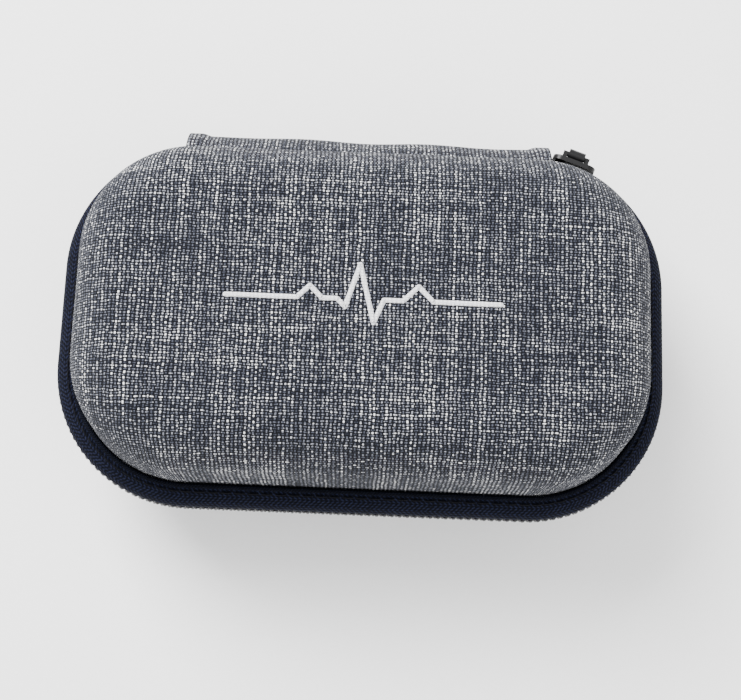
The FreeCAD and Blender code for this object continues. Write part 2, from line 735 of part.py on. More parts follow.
def make_upper_half():
    """Upper half: housing, window, display, board, switch, button, frame, pad, lamps, screws."""
    tall = "body_height - upper_start"
    outer = shell_solid("0", "upper_start", tall, "body_height")
    inner = shell_solid("wall_thick", "upper_start", f"{tall} - wall_thick", "body_height - wall_thick")
    bosses = [rod(x, y, "24.55", "1.7", "body_height - 1 - 24.55") for x, y in screw_spots()]
    holes = [rod(x, y, "20", "0.8", "8") for x, y in screw_spots()]
    arch = rod(f"0 - {TAIL} - 1", "0", "upper_start", "tunnel_radius + 1.2", "6", "x")
    ledge = "body_height - window_thick"
    wide, deep = "window_length + 0.3", "window_width + 0.3"
    recess = rounded_body(wide, deep, "3.15", f"{ledge} - 0.05", "3", "window_place")
    sight = block("window_place", "0", "25", "window_length - 3", "window_width - 3", "6")
    button_hole = rod("button_place", "0", "25", "button_radius + 0.3", "6")
    shell = join(cut(outer, inner), *bosses)
    housing = cut(shell, arch, recess, sight, button_hole, tail_relief("upper_start", 1), *holes)
    node(place(housing, z=LIFT), "oximeter_upper_housing")
    window = rounded_body("window_length", "window_width", "3", ledge, "window_thick + 0.05", "window_place")
    node(place(window, z=LIFT), "display_window")
    node(block("window_place", "0", lifted("25.85"), "28", "16", "2.2"), "display_module")
    board = rounded_body("48", "board_width", "4", "24.9", "0.9")
    node(place(board, z=LIFT), "circuit_board")
    switch_case = block("button_place", "0", "25.85", "5", "5", "0.7")
    plunger = rod("button_place", "0", "26.4", "1.2", "0.5")
    node(place(join(switch_case, plunger), z=LIFT), "button_switch")
    button = join(
        rod("button_place", "0", "27.75", "button_radius", "body_height + 0.5 - 27.75"),
        rod("button_place", "0", "27.7", "button_radius + 0.8", "0.6"),
    )
    node(place(button, z=LIFT), "power_button")

    plate = frame_plate("23.7", "0.8")
    lugs = [
        part
        for side in (1, -1)
        for part in (
            block("pin_place", f"{side} * 9", "pin_height", "2 * lug_radius", "2.4", "23.9 - pin_height"),
            rod("pin_place", f"{side} * 9 - 1.2", "pin_height", "lug_radius", "2.4", "y"),
        )
    ]
    pin_hole = rod("pin_place", "0 - 12", "pin_height", "pin_radius + pin_play", "24", "y")
    lamp_hole = block("sensor_place", "0", "20", "6", "5", "8")
    frame_holes = [rod(x, y, "20", "0.8", "8") for x, y in screw_spots()]
    node(place(cut(join(plate, *lugs), pin_hole, lamp_hole, *frame_holes), z=LIFT), "upper_frame")

    pad_start = "upper_start + 0.2"
    pad = block(
        "(pad_back - pad_reach) / 2",
        "0",
        pad_start,
        "pad_back + pad_reach",
        "pad_width",
        f"23.65 - ({pad_start})",
    )
    tunnel = rod("0 - 28", "0", "upper_start", "tunnel_radius", "tunnel_end + 28", "x")
    lamp_gap = block("sensor_place", "0", "20", "6", "5", "8")
    node(place(cut(pad, tunnel, lamp_gap), z=LIFT), "upper_finger_pad")
    node(block("sensor_place", "0", lifted("22.55"), "5.6", "4.6", "2.3"), "light_emitter")

    screws = [
        part
        for x, y in screw_spots()
        for part in (rod(x, y, "23.2", "0.7", "4.5"), rod(x, y, "22.95", "1.35", "0.7"))
    ]
    node(place(join(*screws), z=LIFT), "upper_screws")


make_lower_half()
make_batteries()
make_hinge()
make_upper_half()


# --- check and write --------------------------------------------------------------------------

doc.recompute()
for thing in doc.Objects:
    if "Invalid" in thing.State or "Error" in thing.State:
        raise SystemExit(f"{thing.Name} ({thing.Label}) failed: {thing.State}")
os.makedirs("parts", exist_ok=True)
for thing in labels:
    shape = thing.Shape
    if shape.isNull() or not shape.isValid() or not shape.Solids:
        raise SystemExit(f"{thing.Label} has no valid solid")
    shape.exportStep(f"parts/{thing.Label}.step")
    print(f"{thing.Label}: {shape.Volume:.1f} mm3, {len(shape.Solids)} solids")
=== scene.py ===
"""Looks of a moulded zip case for a fingertip pulse oximeter, and of the oximeter inside it."""

import math
import random

import bmesh
import bpy
import numpy as np
from mathutils import Matrix, Vector


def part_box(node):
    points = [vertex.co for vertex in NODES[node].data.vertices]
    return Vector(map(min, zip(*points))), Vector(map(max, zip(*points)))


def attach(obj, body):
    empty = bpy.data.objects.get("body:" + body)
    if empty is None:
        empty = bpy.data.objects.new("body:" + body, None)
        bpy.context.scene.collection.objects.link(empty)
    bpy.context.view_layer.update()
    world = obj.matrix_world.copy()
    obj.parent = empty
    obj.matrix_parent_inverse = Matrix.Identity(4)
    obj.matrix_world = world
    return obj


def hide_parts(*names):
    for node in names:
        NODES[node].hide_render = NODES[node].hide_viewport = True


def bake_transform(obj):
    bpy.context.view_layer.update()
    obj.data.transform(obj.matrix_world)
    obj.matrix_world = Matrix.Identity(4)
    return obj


bl_info = {
    "name": "Oximeter Case",
    "version": (1, 0, 0),
    "blender": (4, 5, 0),
    "location": "View3D > Sidebar > Oximeter Case",
    "description": "Builds the cloth, zip, lining, foam and finishes of a moulded oximeter case",
    "category": "Add Mesh",
}

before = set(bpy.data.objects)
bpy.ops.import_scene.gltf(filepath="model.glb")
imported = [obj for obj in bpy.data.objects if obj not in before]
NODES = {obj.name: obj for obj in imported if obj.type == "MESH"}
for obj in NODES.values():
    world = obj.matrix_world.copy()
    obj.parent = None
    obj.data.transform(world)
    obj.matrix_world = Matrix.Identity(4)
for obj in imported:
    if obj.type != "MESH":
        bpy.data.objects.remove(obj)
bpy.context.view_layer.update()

MM = 0.001
# sizes of the case, mm
PARTING = 26.0  # height of the plane where the halves meet
FLAT_X, FLAT_Y, CORNER = 32.75, 9.75, 23.0  # straight half runs and corner of the shell's outline there
ZIP_REACH = 3.6  # from that outline out to the middle of the zip
SPINE_END = 36.5  # half the length of the cloth spine
NOTCH_END = 47.2  # where the lid's zip starts, beside the parked slider
LEAN = math.radians(5)  # slope of the moulded walls
WALL = math.tan(LEAN)
HALVES = (("lid", "lid", 1), ("base", "case_base", -1))


class Track:
    """A rounded rectangle round the case, a distance out from the shell's outline, walked clockwise.

    It starts at the middle of the back. Lengths are in mm.
    """

    def __init__(self, out=0.0):
        self.half_x, self.half_y, self.radius = FLAT_X, FLAT_Y, CORNER + out
        quarter = math.pi / 2 * self.radius
        self.runs = [self.half_x, quarter, 2 * self.half_y, quarter, 2 * self.half_x, quarter]
        self.runs += [2 * self.half_y, quarter, self.half_x]
        self.length = sum(self.runs)

    def at(self, s):
        """The point at length s and its outward normal."""
        s %= self.length
        hx, hy, r = self.half_x, self.half_y, self.radius
        starts = [(0, hy + r), (hx + r, hy), (hx, -hy - r), (-hx - r, -hy), (-hx, hy + r)]
        ways = [(1, 0), (0, -1), (-1, 0), (0, 1), (1, 0)]
        centres = [(hx, hy), (hx, -hy), (-hx, -hy), (-hx, hy)]
        for i, run in enumerate(self.runs):
            if s <= run or i == len(self.runs) - 1:
                break
            s -= run
        side, on_corner = divmod(i, 2)
        if not on_corner:
            (x, y), (dx, dy) = starts[side], ways[side]
            return x + dx * s, y + dy * s, -dy, dx
        turn = math.pi / 2 - side * math.pi / 2 - s / r
        nx, ny = math.cos(turn), math.sin(turn)
        return centres[side][0] + r * nx, centres[side][1] + r * ny, nx, ny

    def back_end(self, x):
        """The length at which the track reaches x, on the back or the rear right corner."""
        if x <= self.half_x:
            return x
        return self.half_x + self.radius * math.asin((x - self.half_x) / self.radius)


# --- meshes -----------------------------------------------------------------------------------


def mesh_piece(name, points, faces, body, material, uvs=None, smooth=True):
    """A piece from points in mm, which rides on a body; uvs holds one (u, v) in mm for each point."""
    mesh = bpy.data.meshes.new(name)
    mesh.from_pydata([(x * MM, y * MM, z * MM) for x, y, z in points], [], faces)
    if uvs is not None:
        layer = mesh.uv_layers.new(name="UVMap")
        corners = np.array([uvs[loop.vertex_index] for loop in mesh.loops], np.float32)
        layer.data.foreach_set("uv", corners.ravel())
    if smooth:
        mesh.polygons.foreach_set("use_smooth", [True] * len(mesh.polygons))
    mesh.update()
    mesh.materials.append(material)
    piece = bpy.data.objects.new(name, mesh)
    bpy.context.scene.collection.objects.link(piece)
    if body:
        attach(piece, body)
    return piece


def modifier(piece, kind, **settings):
    made = piece.modifiers.new(kind.title(), kind)
    for key, setting in settings.items():
        setattr(made, key, setting)
    return made


def grid_faces(rows, columns, close_columns=False, flip=False):
    """Quads between rows of points."""
    faces = []
    for i in range(rows - 1):
        for j in range(columns if close_columns else columns - 1):
            k = (j + 1) % columns
            quad = (i * columns + j, i * columns + k, (i + 1) * columns + k, (i + 1) * columns + j)
            faces.append(quad[::-1] if flip else quad)
    return faces


def swept(name, section, side, first, last, body, material, closed=False):
    """A section of (out, up) points carried round the case between two lengths of the zip's track.

    side is 1 for the lid, and -1 for the base, whose sections are turned over.
    """
    track = Track(ZIP_REACH)
    step = 0.8
    count = max(2, int((last - first) / step))
    edge = [0.0]
    for a, b in zip(section, section[1:] + section[:1]):
        edge.append(edge[-1] + math.dist(a, b))
    points, uvs = [], []
    for i in range(count if closed else count + 1):
        s = first + (last - first) * i / count
        x, y, nx, ny = track.at(s)
        for (out, up), v in zip(section, edge):
            inset = ZIP_REACH - out
            points.append((x - nx * inset, y - ny * inset, PARTING + side * up))
            uvs.append((s, v))
    rows, columns = len(points) // len(section), len(section)
    faces = grid_faces(rows, columns, True, side < 0)
    if closed:
        last_row = (rows - 1) * columns
        for j in range(columns):
            k = (j + 1) % columns
            quad = (last_row + j, last_row + k, k, j)
            faces.append(quad[::-1] if side < 0 else quad)
    else:
        caps = [tuple(range(columns))[::-1], tuple(range(len(points) - columns, len(points)))]
        faces += [cap[::-1] if side < 0 else cap for cap in caps]
    return mesh_piece(name, points, faces, body, material, uvs)


def tube(path, radius, sides=6, flat=1.0):
    """Points and faces of a capped tube along a path; flat squeezes it along Z."""
    points, faces = [], []
    path = [Vector(p) for p in path]
    up = Vector((0, 0, 1))
    for i, p in enumerate(path):
        way = (path[min(i + 1, len(path) - 1)] - path[max(i - 1, 0)]).normalized()
        side = way.cross(up)
        side = side.normalized() if side.length > 1e-4 else Vector((1, 0, 0))
        top = side.cross(way).normalized()
        for j in range(sides):
            turn = 2 * math.pi * j / sides
            points.append(p + side * radius * math.cos(turn) + top * radius * flat * math.sin(turn))
    faces = grid_faces(len(path), sides, True)
    faces += [tuple(range(sides))[::-1], tuple(range(len(points) - sides, len(points)))]
    return [tuple(p) for p in points], faces


def merged(parts):
    """Several (points, faces) as one."""
    points, faces = [], []
    for some_points, some_faces in parts:
        start = len(points)
        points += some_points
        faces += [tuple(i + start for i in face) for face in some_faces]
    return points, faces


def stitch(middle, way, length, radius, out):
    """One stitch: a short thread that dips at both ends."""
    middle, way, out = Vector(middle), Vector(way).normalized(), Vector(out).normalized()
    path = []
    for t in (-0.5, -0.38, -0.15, 0.15, 0.38, 0.5):
        lift = radius * (1.0 - 8 * max(0, abs(t) - 0.3) * 1.2)
        path.append(middle + way * (t * length) + out * lift)
    return tube(path, radius, 6)


# --- materials --------------------------------------------------------------------------------


def linear(code):
    """Linear RGBA from an sRGB hex value; a colour property is linear already."""
    if not isinstance(code, str):
        return tuple(code)
    parts = [int(code[i : i + 2], 16) / 255 for i in (1, 3, 5)]
    return (*[c / 12.92 if c <= 0.04045 else ((c + 0.055) / 1.055) ** 2.4 for c in parts], 1.0)


def add(tree, kind, inputs=None, **settings):
    """Adds a node with its settings; an input is either a value or a socket to link from."""
    made = tree.nodes.new(kind)
    for key, setting in settings.items():
        setattr(made, key, setting)
    for key, given in (inputs or {}).items():
        if isinstance(given, bpy.types.NodeSocket):
            tree.links.new(given, made.inputs[key])
        else:
            made.inputs[key].default_value = given
    return made


def new_material(name, **shader):
    """A material named for what the real one is, with its Principled shader's values."""
    made = bpy.data.materials.new(name)
    made.use_nodes = True
    surface = made.node_tree.nodes["Principled BSDF"]
    for key, given in shader.items():
        surface.inputs[key.replace("_", " ")].default_value = given
    return made, made.node_tree, surface


def math_node(tree, operation, *values):
    return add(tree, "ShaderNodeMath", dict(enumerate(values)), operation=operation).outputs[0]


def ramp(tree, factor, stops):
    """A colour ramp through (position, hex) stops."""
    made = add(tree, "ShaderNodeValToRGB", {"Fac": factor})
    elements = made.color_ramp.elements
    while len(elements) < len(stops):
        elements.new(0.5)
    for element, (position, code) in zip(elements, stops):
        element.position = position
        element.color = linear(code)
    return made.outputs["Color"]


def bump(tree, surface, height, distance):
    """Relief whose full height is a distance in mm."""
    made = add(tree, "ShaderNodeBump", {"Height": height, "Distance": distance * MM, "Strength": 1.0})
    tree.links.new(made.outputs["Normal"], surface.inputs["Normal"])


def noise(tree, vector, scale, detail=2.0, rough=0.5):
    inputs = {"Vector": vector, "Scale": scale, "Detail": detail, "Roughness": rough}
    return add(tree, "ShaderNodeTexNoise", inputs).outputs["Fac"]


def cell_pattern(tree, vector, scale):
    return add(tree, "ShaderNodeTexVoronoi", {"Vector": vector, "Scale": scale}).outputs["Distance"]


def place_mm(tree):
    """The object's own coordinates, in mm."""
    coordinates = add(tree, "ShaderNodeTexCoord").outputs["Object"]
    return add(tree, "ShaderNodeVectorMath", {0: coordinates, 3: 1 / MM}, operation="SCALE").outputs[0]


def uv_mm(tree):
    """The cloth's own two directions, in mm."""
    coordinates = add(tree, "ShaderNodeUVMap", uv_map="UVMap").outputs["UV"]
    parts = add(tree, "ShaderNodeSeparateXYZ", {0: coordinates})
    return parts.outputs["X"], parts.outputs["Y"]


def plain_weave(name, gap_shade, stops, rough, depth=0.2, sheen=0.03, weft_shade=0.03):
    """Plain-woven yarn: threads pass over and under each other above dark gaps.

    The upright threads stand 0.76 mm apart and the level ones 0.54 mm. Each keeps its tone for
    several mm, so light and dark lines run both ways. weft_shade darkens the level threads.
    The gaps, and each thread's sides where it curves down, take the gap colour as painted shade.
    """
    made, tree, surface = new_material(name, Roughness=rough, Sheen_Weight=sheen, Sheen_Roughness=0.5)
    surface.inputs["Specular IOR Level"].default_value = 0.15
    u, v = uv_mm(tree)
    at = place_mm(tree)
    cells = []
    for along, spacing, scale in ((u, 0.76, 0.31), (v, 0.54, 0.37)):
        wander = math_node(tree, "SUBTRACT", noise(tree, at, scale, 2.0), 0.5)
        strayed = math_node(tree, "MULTIPLY_ADD", wander, 0.7, along)
        cell = math_node(tree, "MULTIPLY", strayed, 1 / spacing)
        cells.append((math_node(tree, "FLOOR", cell), math_node(tree, "FRACT", cell)))
    (warp, across_warp), (weft, across_weft) = cells
    tones = []
    for index, along, shift in ((warp, v, 0.0), (weft, u, 41.7)):
        row = math_node(tree, "MULTIPLY_ADD", index, 7.31, shift)
        parts = []
        # tone changes slowly along a thread, with shorter slubs on top; the rate is per mm
        for rate in (0.035, 0.3, 1.7):
            run = math_node(tree, "MULTIPLY", along, rate)
            spot = add(tree, "ShaderNodeCombineXYZ", {0: row, 1: run})
            parts.append(noise(tree, spot.outputs[0], 1.0, 1.0, 0.5))
        mixed = math_node(tree, "MULTIPLY", parts[0], 0.4)
        mixed = math_node(tree, "MULTIPLY_ADD", parts[1], 0.12, mixed)
        tones.append(math_node(tree, "MULTIPLY_ADD", parts[2], 0.48, mixed))
    tones[1] = math_node(tree, "SUBTRACT", tones[1], weft_shade)
    over = math_node(tree, "PINGPONG", math_node(tree, "ADD", warp, weft), 1.0)
    tone = add(tree, "ShaderNodeMix", {0: over, 2: tones[0], 3: tones[1]}).outputs[0]
    arcs = []
    for across in (across_warp, across_weft):
        arcs.append(math_node(tree, "SINE", math_node(tree, "MULTIPLY", across, math.pi)))
    # a thread is round across its width and long in its own direction
    rounds = []
    for own, other in ((arcs[0], arcs[1]), (arcs[1], arcs[0])):
        long_way = math_node(tree, "POWER", other, 0.25)
        rounds.append(math_node(tree, "MULTIPLY", math_node(tree, "POWER", own, 1.5), long_way))
    hump = add(tree, "ShaderNodeMix", {0: over, 2: rounds[0], 3: rounds[1]}).outputs[0]
    # painted shade: where a thread's round hump is low, in the gaps and down its sides, the gap colour
    # covers the thread colour
    gap_shade_mask = add(
        tree,
        "ShaderNodeMapRange",
        {"Value": hump, "From Min": 0.44, "From Max": 0.94},
        interpolation_type="SMOOTHSTEP",
    ).outputs[0]
    patch = math_node(tree, "SUBTRACT", noise(tree, at, 0.06, 2.0), 0.5)
    thread = ramp(tree, math_node(tree, "MULTIPLY_ADD", patch, 0.12, tone), stops)
    cloth = add(tree, "ShaderNodeMix", {0: gap_shade_mask, 6: linear(gap_shade), 7: thread}, data_type="RGBA")
    tree.links.new(cloth.outputs[2], surface.inputs["Base Color"])
    fibre = noise(tree, at, 9.0, 2.0)
    bump(tree, surface, math_node(tree, "MULTIPLY_ADD", fibre, 0.2, hump), depth)
    return made


def twill_tape(name, rib, dark, light, depth=0.14):
    """Woven tape: threads step sideways row by row, and short floats catch the light."""
    made, tree, surface = new_material(name, Roughness=0.75)
    surface.inputs["Specular IOR Level"].default_value = 0.06
    u, v = uv_mm(tree)
    at = place_mm(tree)
    slant = math_node(tree, "MULTIPLY_ADD", math_node(tree, "PINGPONG", v, rib * 1.6), 0.9, u)
    ribs = math_node(tree, "SINE", math_node(tree, "MULTIPLY", slant, 2 * math.pi / rib))
    rows = math_node(tree, "SINE", math_node(tree, "MULTIPLY", v, 2 * math.pi / (rib * 0.62)))
    height = math_node(tree, "MULTIPLY_ADD", ribs, 0.3, math_node(tree, "MULTIPLY_ADD", rows, 0.2, 0.5))
    speck = noise(tree, at, 1.6, 3.0, 0.7)
    # painted highlight: the colour follows the rib height, so the raised floats are painted lighter,
    # broken up by random specks
    tone = math_node(tree, "MULTIPLY", height, math_node(tree, "MULTIPLY_ADD", speck, 1.6, 0.1))
    tree.links.new(ramp(tree, tone, [(0.4, dark), (0.85, light)]), surface.inputs["Base Color"])
    bump(tree, surface, height, depth)
    return made


def knit(name, stitch_size, dark, light):
    """Brushed knit: tiny loops under a short nap."""
    made, tree, surface = new_material(name, Roughness=0.95, Sheen_Weight=0.4, Sheen_Roughness=0.5)
    at = place_mm(tree)
    cells = cell_pattern(tree, at, 1 / stitch_size)
    nap = noise(tree, at, 2.5, 4.0, 0.6)
    height = math_node(tree, "MULTIPLY_ADD", nap, 0.6, math_node(tree, "MULTIPLY", cells, -0.5))
    tree.links.new(ramp(tree, nap, [(0.3, dark), (0.75, light)]), surface.inputs["Base Color"])
    bump(tree, surface, height, 0.25)
    return made


def cell_foam(name, pore, dark, light):
    """Cut open-cell foam: pores show on every face."""
    made, tree, surface = new_material(name, Roughness=0.95)
    at = place_mm(tree)
    pores = cell_pattern(tree, at, 1 / pore)
    small = cell_pattern(tree, at, 2.3 / pore)
    mixed = math_node(tree, "MULTIPLY_ADD", small, 0.5, pores)
    # painted shade: each pore is painted darker towards its middle, where its hollow is deepest
    tree.links.new(ramp(tree, mixed, [(0.1, dark), (0.8, light)]), surface.inputs["Base Color"])
    bump(tree, surface, mixed, 0.3)
    return made


def moulded(name, code, rough, grain=0.4, depth=0.02, coat=0.0, spread=0.06, **shader):
    """Moulded plastic or rubber: a fine mould texture, with slight tone and gloss changes."""
    made, tree, surface = new_material(name, **shader)
    surface.inputs["Coat Weight"].default_value = coat
    at = place_mm(tree)
    cloud = noise(tree, at, 0.12, 3.0)
    fine = noise(tree, at, 1 / grain, 3.0, 0.6)
    hue = add(tree, "ShaderNodeHueSaturation", {"Color": linear(code)})
    value = math_node(tree, "MULTIPLY_ADD", cloud, 2 * spread, 1.0 - spread)
    tree.links.new(value, hue.inputs["Value"])
    tree.links.new(hue.outputs[0], surface.inputs["Base Color"])
    gloss = math_node(tree, "MULTIPLY_ADD", fine, 0.12, rough - 0.06)
    tree.links.new(gloss, surface.inputs["Roughness"])
    bump(tree, surface, fine, depth)
    return made


def metal(name, code, rough, stretch=(1.0, 1.0, 12.0)):
    """Drawn or plated metal, with fine marks along its length."""
    made, tree, surface = new_material(name, Metallic=1.0)
    at = add(tree, "ShaderNodeMapping", {"Vector": place_mm(tree), "Scale": stretch}).outputs[0]
    marks = noise(tree, at, 1.4, 4.0, 0.6)
    tree.links.new(ramp(tree, marks, [(0.2, code), (0.9, "#DADADA")]), surface.inputs["Base Color"])
    gloss = math_node(tree, "MULTIPLY_ADD", marks, 0.2, rough - 0.1)
    tree.links.new(gloss, surface.inputs["Roughness"])
    bump(tree, surface, marks, 0.008)
    return made


DULL = {"Specular_IOR_Level": 0.1}
WORN = {"Specular_IOR_Level": 0.3}


def make_materials():
    """Every finish of the case and the oximeter, by short name."""
    case = bpy.context.scene.oximeter_case
    melange = [(0.35, case.dark_yarn), (0.46, "#4A4D58"), (0.53, "#898B93"), (0.62, case.light_yarn)]
    ink = [(0.3, "#E2E2E4"), (0.6, "#FAFAFA")]
    housing, button = case.housing_colour, case.button_colour
    return {
        # two-tone polyester yarn, so that light and dark threads cross over gaps, which are near-black
        # painted shade
        "cloth": plain_weave("Melange polyester, plain woven", "#07080F", melange, 0.9),
        # the ink sits on the same weave, whose gaps show as grey painted shade
        "ink": plain_weave("Screen print ink on woven polyester", "#C8C8CC", ink, 0.6, 0.08, 0.0, 0.0),
        # polyester twill, ribs 0.9 mm apart, nearly black with a blue cast; its raised threads are painted
        # lighter as a painted highlight
        "tape": twill_tape("Polyester zip tape, twill woven", 0.9, "#03040B", case.tape_highlight_and_speck),
        # the binding and the elastic share the tape's weave, so their raised ribs carry the same painted
        # highlight
        "binding": twill_tape("Polyester binding tape, grosgrain woven", 0.6, "#020309", "#0E111D"),
        "elastic": twill_tape("Elastic tape, ribbed woven", 1.1, "#0B0C10", "#2B2D36", 0.3),
        # nylon monofilament is smooth and a little glossy, so each turn catches a highlight
        "coil": moulded("Nylon monofilament, coiled", "#0A0B12", 0.25, 0.5, 0.01),
        # bonded thread is dull and as dark as the tape, so that a stitch shows only by its shadow
        "thread": moulded("Polyester sewing thread, bonded", "#05060C", 0.8, 0.15, 0.05, **DULL),
        # raised nap takes no highlight, and its loops show as small cells
        "lining": knit("Polyester lining, brushed knit", 0.5, "#0B0C10", "#2A2B33"),
        # foams: closed fine cells where hot moulded, open coarse ones where cut; in both, the hollow of
        # each cell is darkened with painted shade
        "shell": cell_foam("EVA foam, hot moulded", 0.35, "#08080A", "#222327"),
        "foam": cell_foam("Polyurethane foam, cut open cell", 0.8, "#17181C", "#4A4C54"),
        "net": moulded("Polyester net, warp knitted", "#1A1B22", 0.7, 0.2, 0.05),
        # baked enamel, rubbed to a half gloss by handling
        "enamel": moulded("Zinc alloy, black enamelled", "#050507", 0.4, 0.6, 0.01, spread=0.15, **WORN),
        # mould texture breaks the highlight on the housings; polished acrylic has none
        "white": moulded("ABS, injection moulded white", housing, 0.32, 0.35, 0.012, spread=0.02),
        "grey": moulded("ABS, injection moulded grey", "#8E949C", 0.5, 0.3, 0.03),
        "button": moulded("ABS, injection moulded blue", button, 0.35, 0.35, 0.012),
        "silicone": moulded("Silicone rubber, moulded", "#5B616A", 0.6, 0.5, 0.02, Subsurface_Weight=0.05),
        "window": moulded("Acrylic, polished smoke", "#040508", 0.07, 3.0, 0.0),
        "display": moulded("Display glass, unlit", "#060709", 0.15, 1.0, 0.0),
        "board": moulded("Fibreglass laminate, solder masked", "#1B5A34", 0.35, 0.8, 0.05, spread=0.12),
        "lens": moulded("Epoxy, cast clear red", "#5A1216", 0.12, 2.0, 0.0, coat=0.5),
        "jacket": moulded("PVC sleeve, heat shrunk", "#28415E", 0.3, 2.0, 0.02, coat=0.3),
        # plated metal: bright, with fine marks along the wire or rod
        "steel": metal("Steel, zinc plated", "#8C8F94", 0.32),
        "nickel": metal("Spring steel, nickel plated", "#A39F97", 0.25, (1, 1, 1)),
    }


PAINT = {
    "zip_slider": "enamel",
    "zip_pull": "enamel",
    "lid_moulded_shell": "shell",
    "base_moulded_shell": "shell",
    "oximeter_lower_housing": "white",
    "oximeter_upper_housing": "white",
    "battery_door": "grey",
    "battery_left": "jacket",
    "battery_right": "jacket",
    "contact_plates": "nickel",
    "contact_springs": "nickel",
    "lower_frame": "grey",
    "upper_frame": "grey",
    "lower_finger_pad": "silicone",
    "upper_finger_pad": "silicone",
    "light_sensor": "lens",
    "light_emitter": "lens",
    "lower_screws": "steel",
    "upper_screws": "steel",
    "hinge_pin": "steel",
    "display_window": "window",
    "display_module": "display",
    "circuit_board": "board",
    "button_switch": "nickel",
    "power_button": "button",
}
MATERIALS = {}


def finish_of(key):
    """A finish by its short name; all are made when the first is asked for."""
    if not MATERIALS:
        MATERIALS.update(make_materials())
    return MATERIALS[key]


# --- the moulded halves -----------------------------------------------------------------------


def dome_profile(inset, start):
    """Points up a half's wall to its flat top.

    Each is (inward offset, height over the parting plane, length of profile left to the top).
    """
    edge_round = 11.0
    radius, top = edge_round - inset, PARTING - inset
    foot = inset + start * WALL
    # where the wall meets the fillet, and the fillet meets the top
    rise = top - radius + radius * math.sin(LEAN)
    wall_in = inset + rise * WALL
    centre = wall_in + radius * math.cos(LEAN)
    profile = [(foot + (wall_in - foot) * t, start + (rise - start) * t) for t in (0, 0.33, 0.66)]
    steps = 14
    for i in range(steps + 1):
        turn = LEAN + (math.pi / 2 - LEAN) * i / steps
        profile.append((centre - radius * math.cos(turn), top - radius + radius * math.sin(turn)))
    lengths = [0.0]
    for a, b in zip(profile, profile[1:]):
        lengths.append(lengths[-1] + math.dist(a, b))
    return [(inward, up, lengths[-1] - length) for (inward, up), length in zip(profile, lengths)]


def crown_height(x, y, crown):
    """How far the top stands proud of flat, in mm; it dies out near the edge of the flat."""
    reach_x, reach_y = 52, 29
    return crown * max(0.0, 1 - (x / reach_x) ** 2) * max(0.0, 1 - (y / reach_y) ** 2)


def dome(name, side, body, inset, start, crown, material, thick, wave=0.0):
    """A half's skin or lining as a single curved sheet of cloth, thickened inwards."""
    track = Track()
    count = 300
    spots = [track.at(track.length * i / count) for i in range(count)]
    points, uvs = [], []
    profile = dome_profile(inset, start)
    flat_in = profile[-1][0]
    for inward, up, length in profile:
        for i, (x, y, nx, ny) in enumerate(spots):
            px, py = x - nx * inward, y - ny * inward
            # the cloth is uneven round the moulded edge, and flat again 14 mm down
            ripple = wave * math.sin(0.21 * i + 3 * math.sin(0.05 * i))
            ripple *= math.sin(math.pi * min(1, length / 14))
            lift = crown_height(px, py, crown)
            points.append((px + nx * ripple, py + ny * ripple, PARTING + side * (up + lift)))
            uvs.append((x - nx * (flat_in - length), y - ny * (flat_in - length)))
    top = PARTING - inset
    rings = 12
    for ring in range(1, rings):
        t = 1 - ring / rings
        for x, y, nx, ny in spots:
            px, py = (x - nx * flat_in) * t, (y - ny * flat_in) * t
            points.append((px, py, PARTING + side * (top + crown_height(px, py, crown))))
            uvs.append((px, py))
    faces = grid_faces(len(points) // count, count, True, side > 0)
    points.append((0, 0, PARTING + side * (top + crown)))
    uvs.append((0, 0))
    last = len(points) - 1 - count
    for i in range(count):
        fan = (last + i, last + (i + 1) % count, len(points) - 1)
        faces.append(fan[::-1] if side > 0 else fan)
    piece = mesh_piece(name, points, faces, body, material, uvs)
    modifier(piece, "SOLIDIFY", thickness=thick * MM, offset=-1.0)
    return piece


def length_property(name, description, default, low, high):
    """A length, given here in mm."""
    return bpy.props.FloatProperty(
        name=name,
        description=description,
        default=default * MM,
        min=low * MM,
        max=high * MM,
        unit="LENGTH",
        precision=5,
    )


def colour_property(name, description, code):
    return bpy.props.FloatVectorProperty(
        name=name,
        description=description,
        default=linear(code),
        min=0.0,
        max=1.0,
        size=4,
        subtype="COLOR",
    )


class CaseSizes(bpy.types.PropertyGroup):
    """Sizes and colours that a user would change."""

    crown: length_property("Crown", "How far the lid's top stands proud of flat", 0.7, 0, 1.2)
    ripple: length_property("Ripple", "Unevenness of the cloth round a moulded edge", 0.12, 0, 0.5)
    tooth_pitch: length_property("Tooth pitch", "From one zip tooth to the next", 1.5, 0.8, 3)
    stitch_pitch: length_property("Stitch pitch", "From one stitch to the next", 2.6, 1, 6)
    net_cell: length_property("Net cell", "Width of one hole of the pocket's net", 2.4, 1, 6)
    camera_distance: length_property("Camera distance", "From the camera to the case", 259.9, 100, 2000)
    light_yarn: colour_property("Light yarn", "Lightest yarn of the heathered cloth", "#FAFAFB")
    dark_yarn: colour_property("Dark yarn", "Darkest yarn of the heathered cloth", "#1C1F29")
    # colour of the tape's raised threads: a painted highlight, mixed with random lighter specks
    tape_highlight_and_speck: colour_property("Zip tape", "Raised threads of the zip tape", "#191D31")
    housing_colour: colour_property("Housing", "Oximeter's housing", "#E9ECEE")
    button_colour: colour_property("Button", "Oximeter's power button", "#3F78B8")


def size_mm(key):
    """A length property of the case, in mm."""
    return getattr(bpy.context.scene.oximeter_case, key) / MM


class CASE_OT_skins(bpy.types.Operator):
    """Cloth skins, pulled over the moulded shells"""

    bl_idname = "oximeter_case.skins"
    bl_label = "Cloth skins"

    def execute(self, context):
        for half, body, side in HALVES:
            crown = size_mm("crown") if side > 0 else 0.0
            name = f"{half}_cloth"
            cloth = dome(name, side, body, 0.0, 3.0, crown, finish_of("cloth"), 0.7, size_mm("ripple"))
            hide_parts(f"{half}_fabric_skin")
        return {"FINISHED"}


